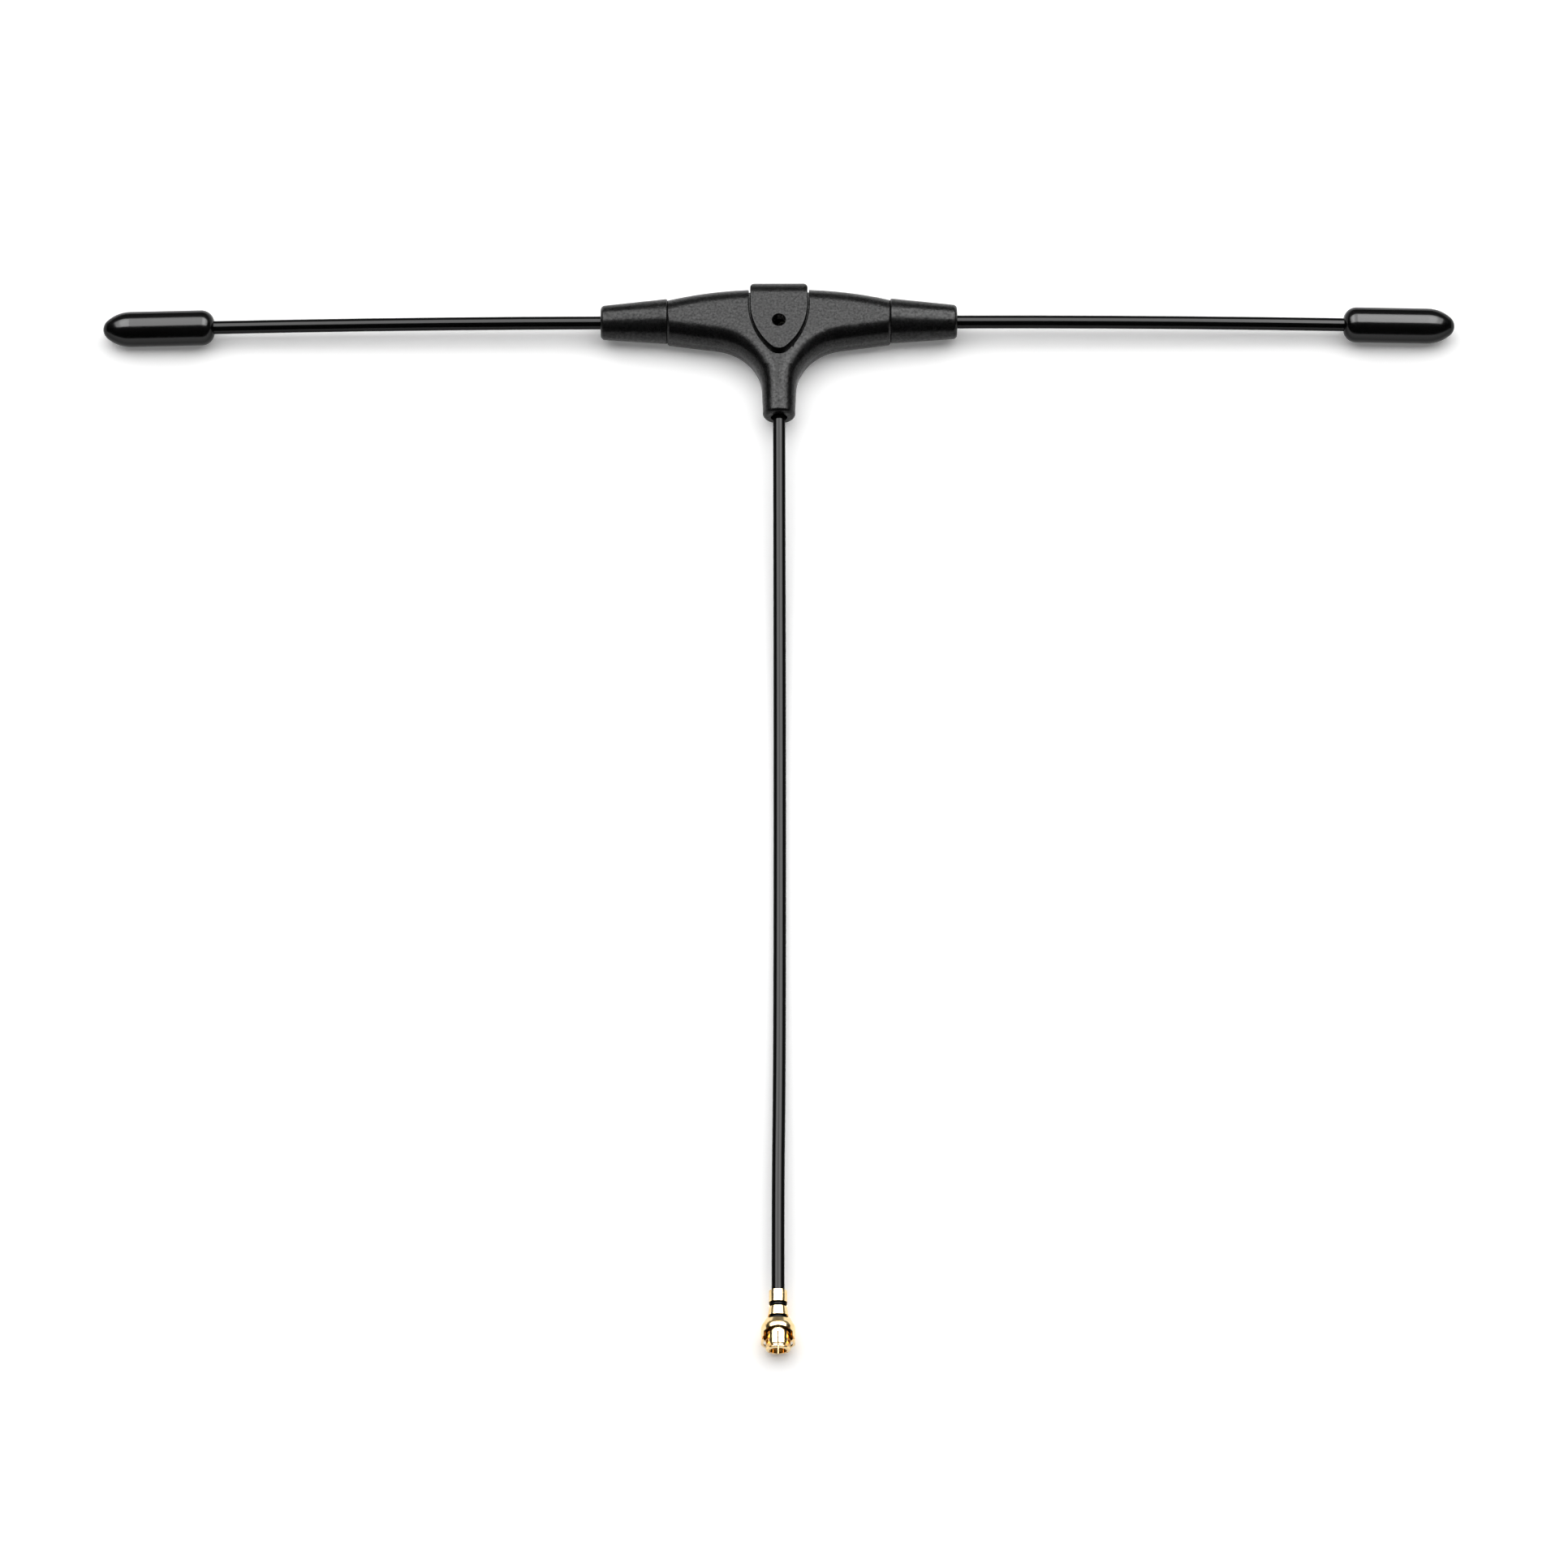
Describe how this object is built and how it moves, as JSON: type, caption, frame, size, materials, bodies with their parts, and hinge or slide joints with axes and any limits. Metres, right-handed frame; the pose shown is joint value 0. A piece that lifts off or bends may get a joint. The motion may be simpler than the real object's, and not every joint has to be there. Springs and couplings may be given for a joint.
{
  "type": "t-shaped antenna",
  "caption": "T-shaped dipole receiver antenna: moulded T housing with a snap-in cover, tapered collars, capped rod arms and a thin coaxial lead with a push-on plug.",
  "frame": {"origin": "on the housing's flat back, below the crossing of the arm axis and the plane of symmetry", "axes": "+X along the right arm, -Y along the lead towards the plug, +Z out of the cover's front, up as it lies"},
  "size_m": [0.125, 0.1034, 0.0042],
  "materials": {
    "housing": "fine-textured black moulded plastic",
    "cover": "fine-textured black moulded plastic",
    "collar": "fine-textured black moulded plastic",
    "sleeve": "smooth glossy black insulation",
    "cap": "smooth glossy black moulded plastic",
    "jacket": "smooth black cable jacket",
    "wire": "drawn spring steel",
    "screen": "tinned copper",
    "solder": "bright solder",
    "insulation": "milky white plastic",
    "gold": "thin gold plating on stamped brass"
  },
  "bodies": {
    "root": {"housing": "housing", "cover": "cover", "left_collar": "collar", "left_sleeve": "sleeve", "left_wire": "wire", "left_cap": "cap", "right_collar": "collar", "right_sleeve": "sleeve", "right_wire": "wire", "right_cap": "cap", "cable": "jacket", "cable_dielectric": "insulation", "cable_braid": "screen", "cable_core": "screen", "left_solder": "solder", "right_solder": "solder", "plug_shell": "gold", "plug_barrel": "gold", "plug_insulator": "insulation", "plug_contact": "gold"}
  },
  "joints": []
}
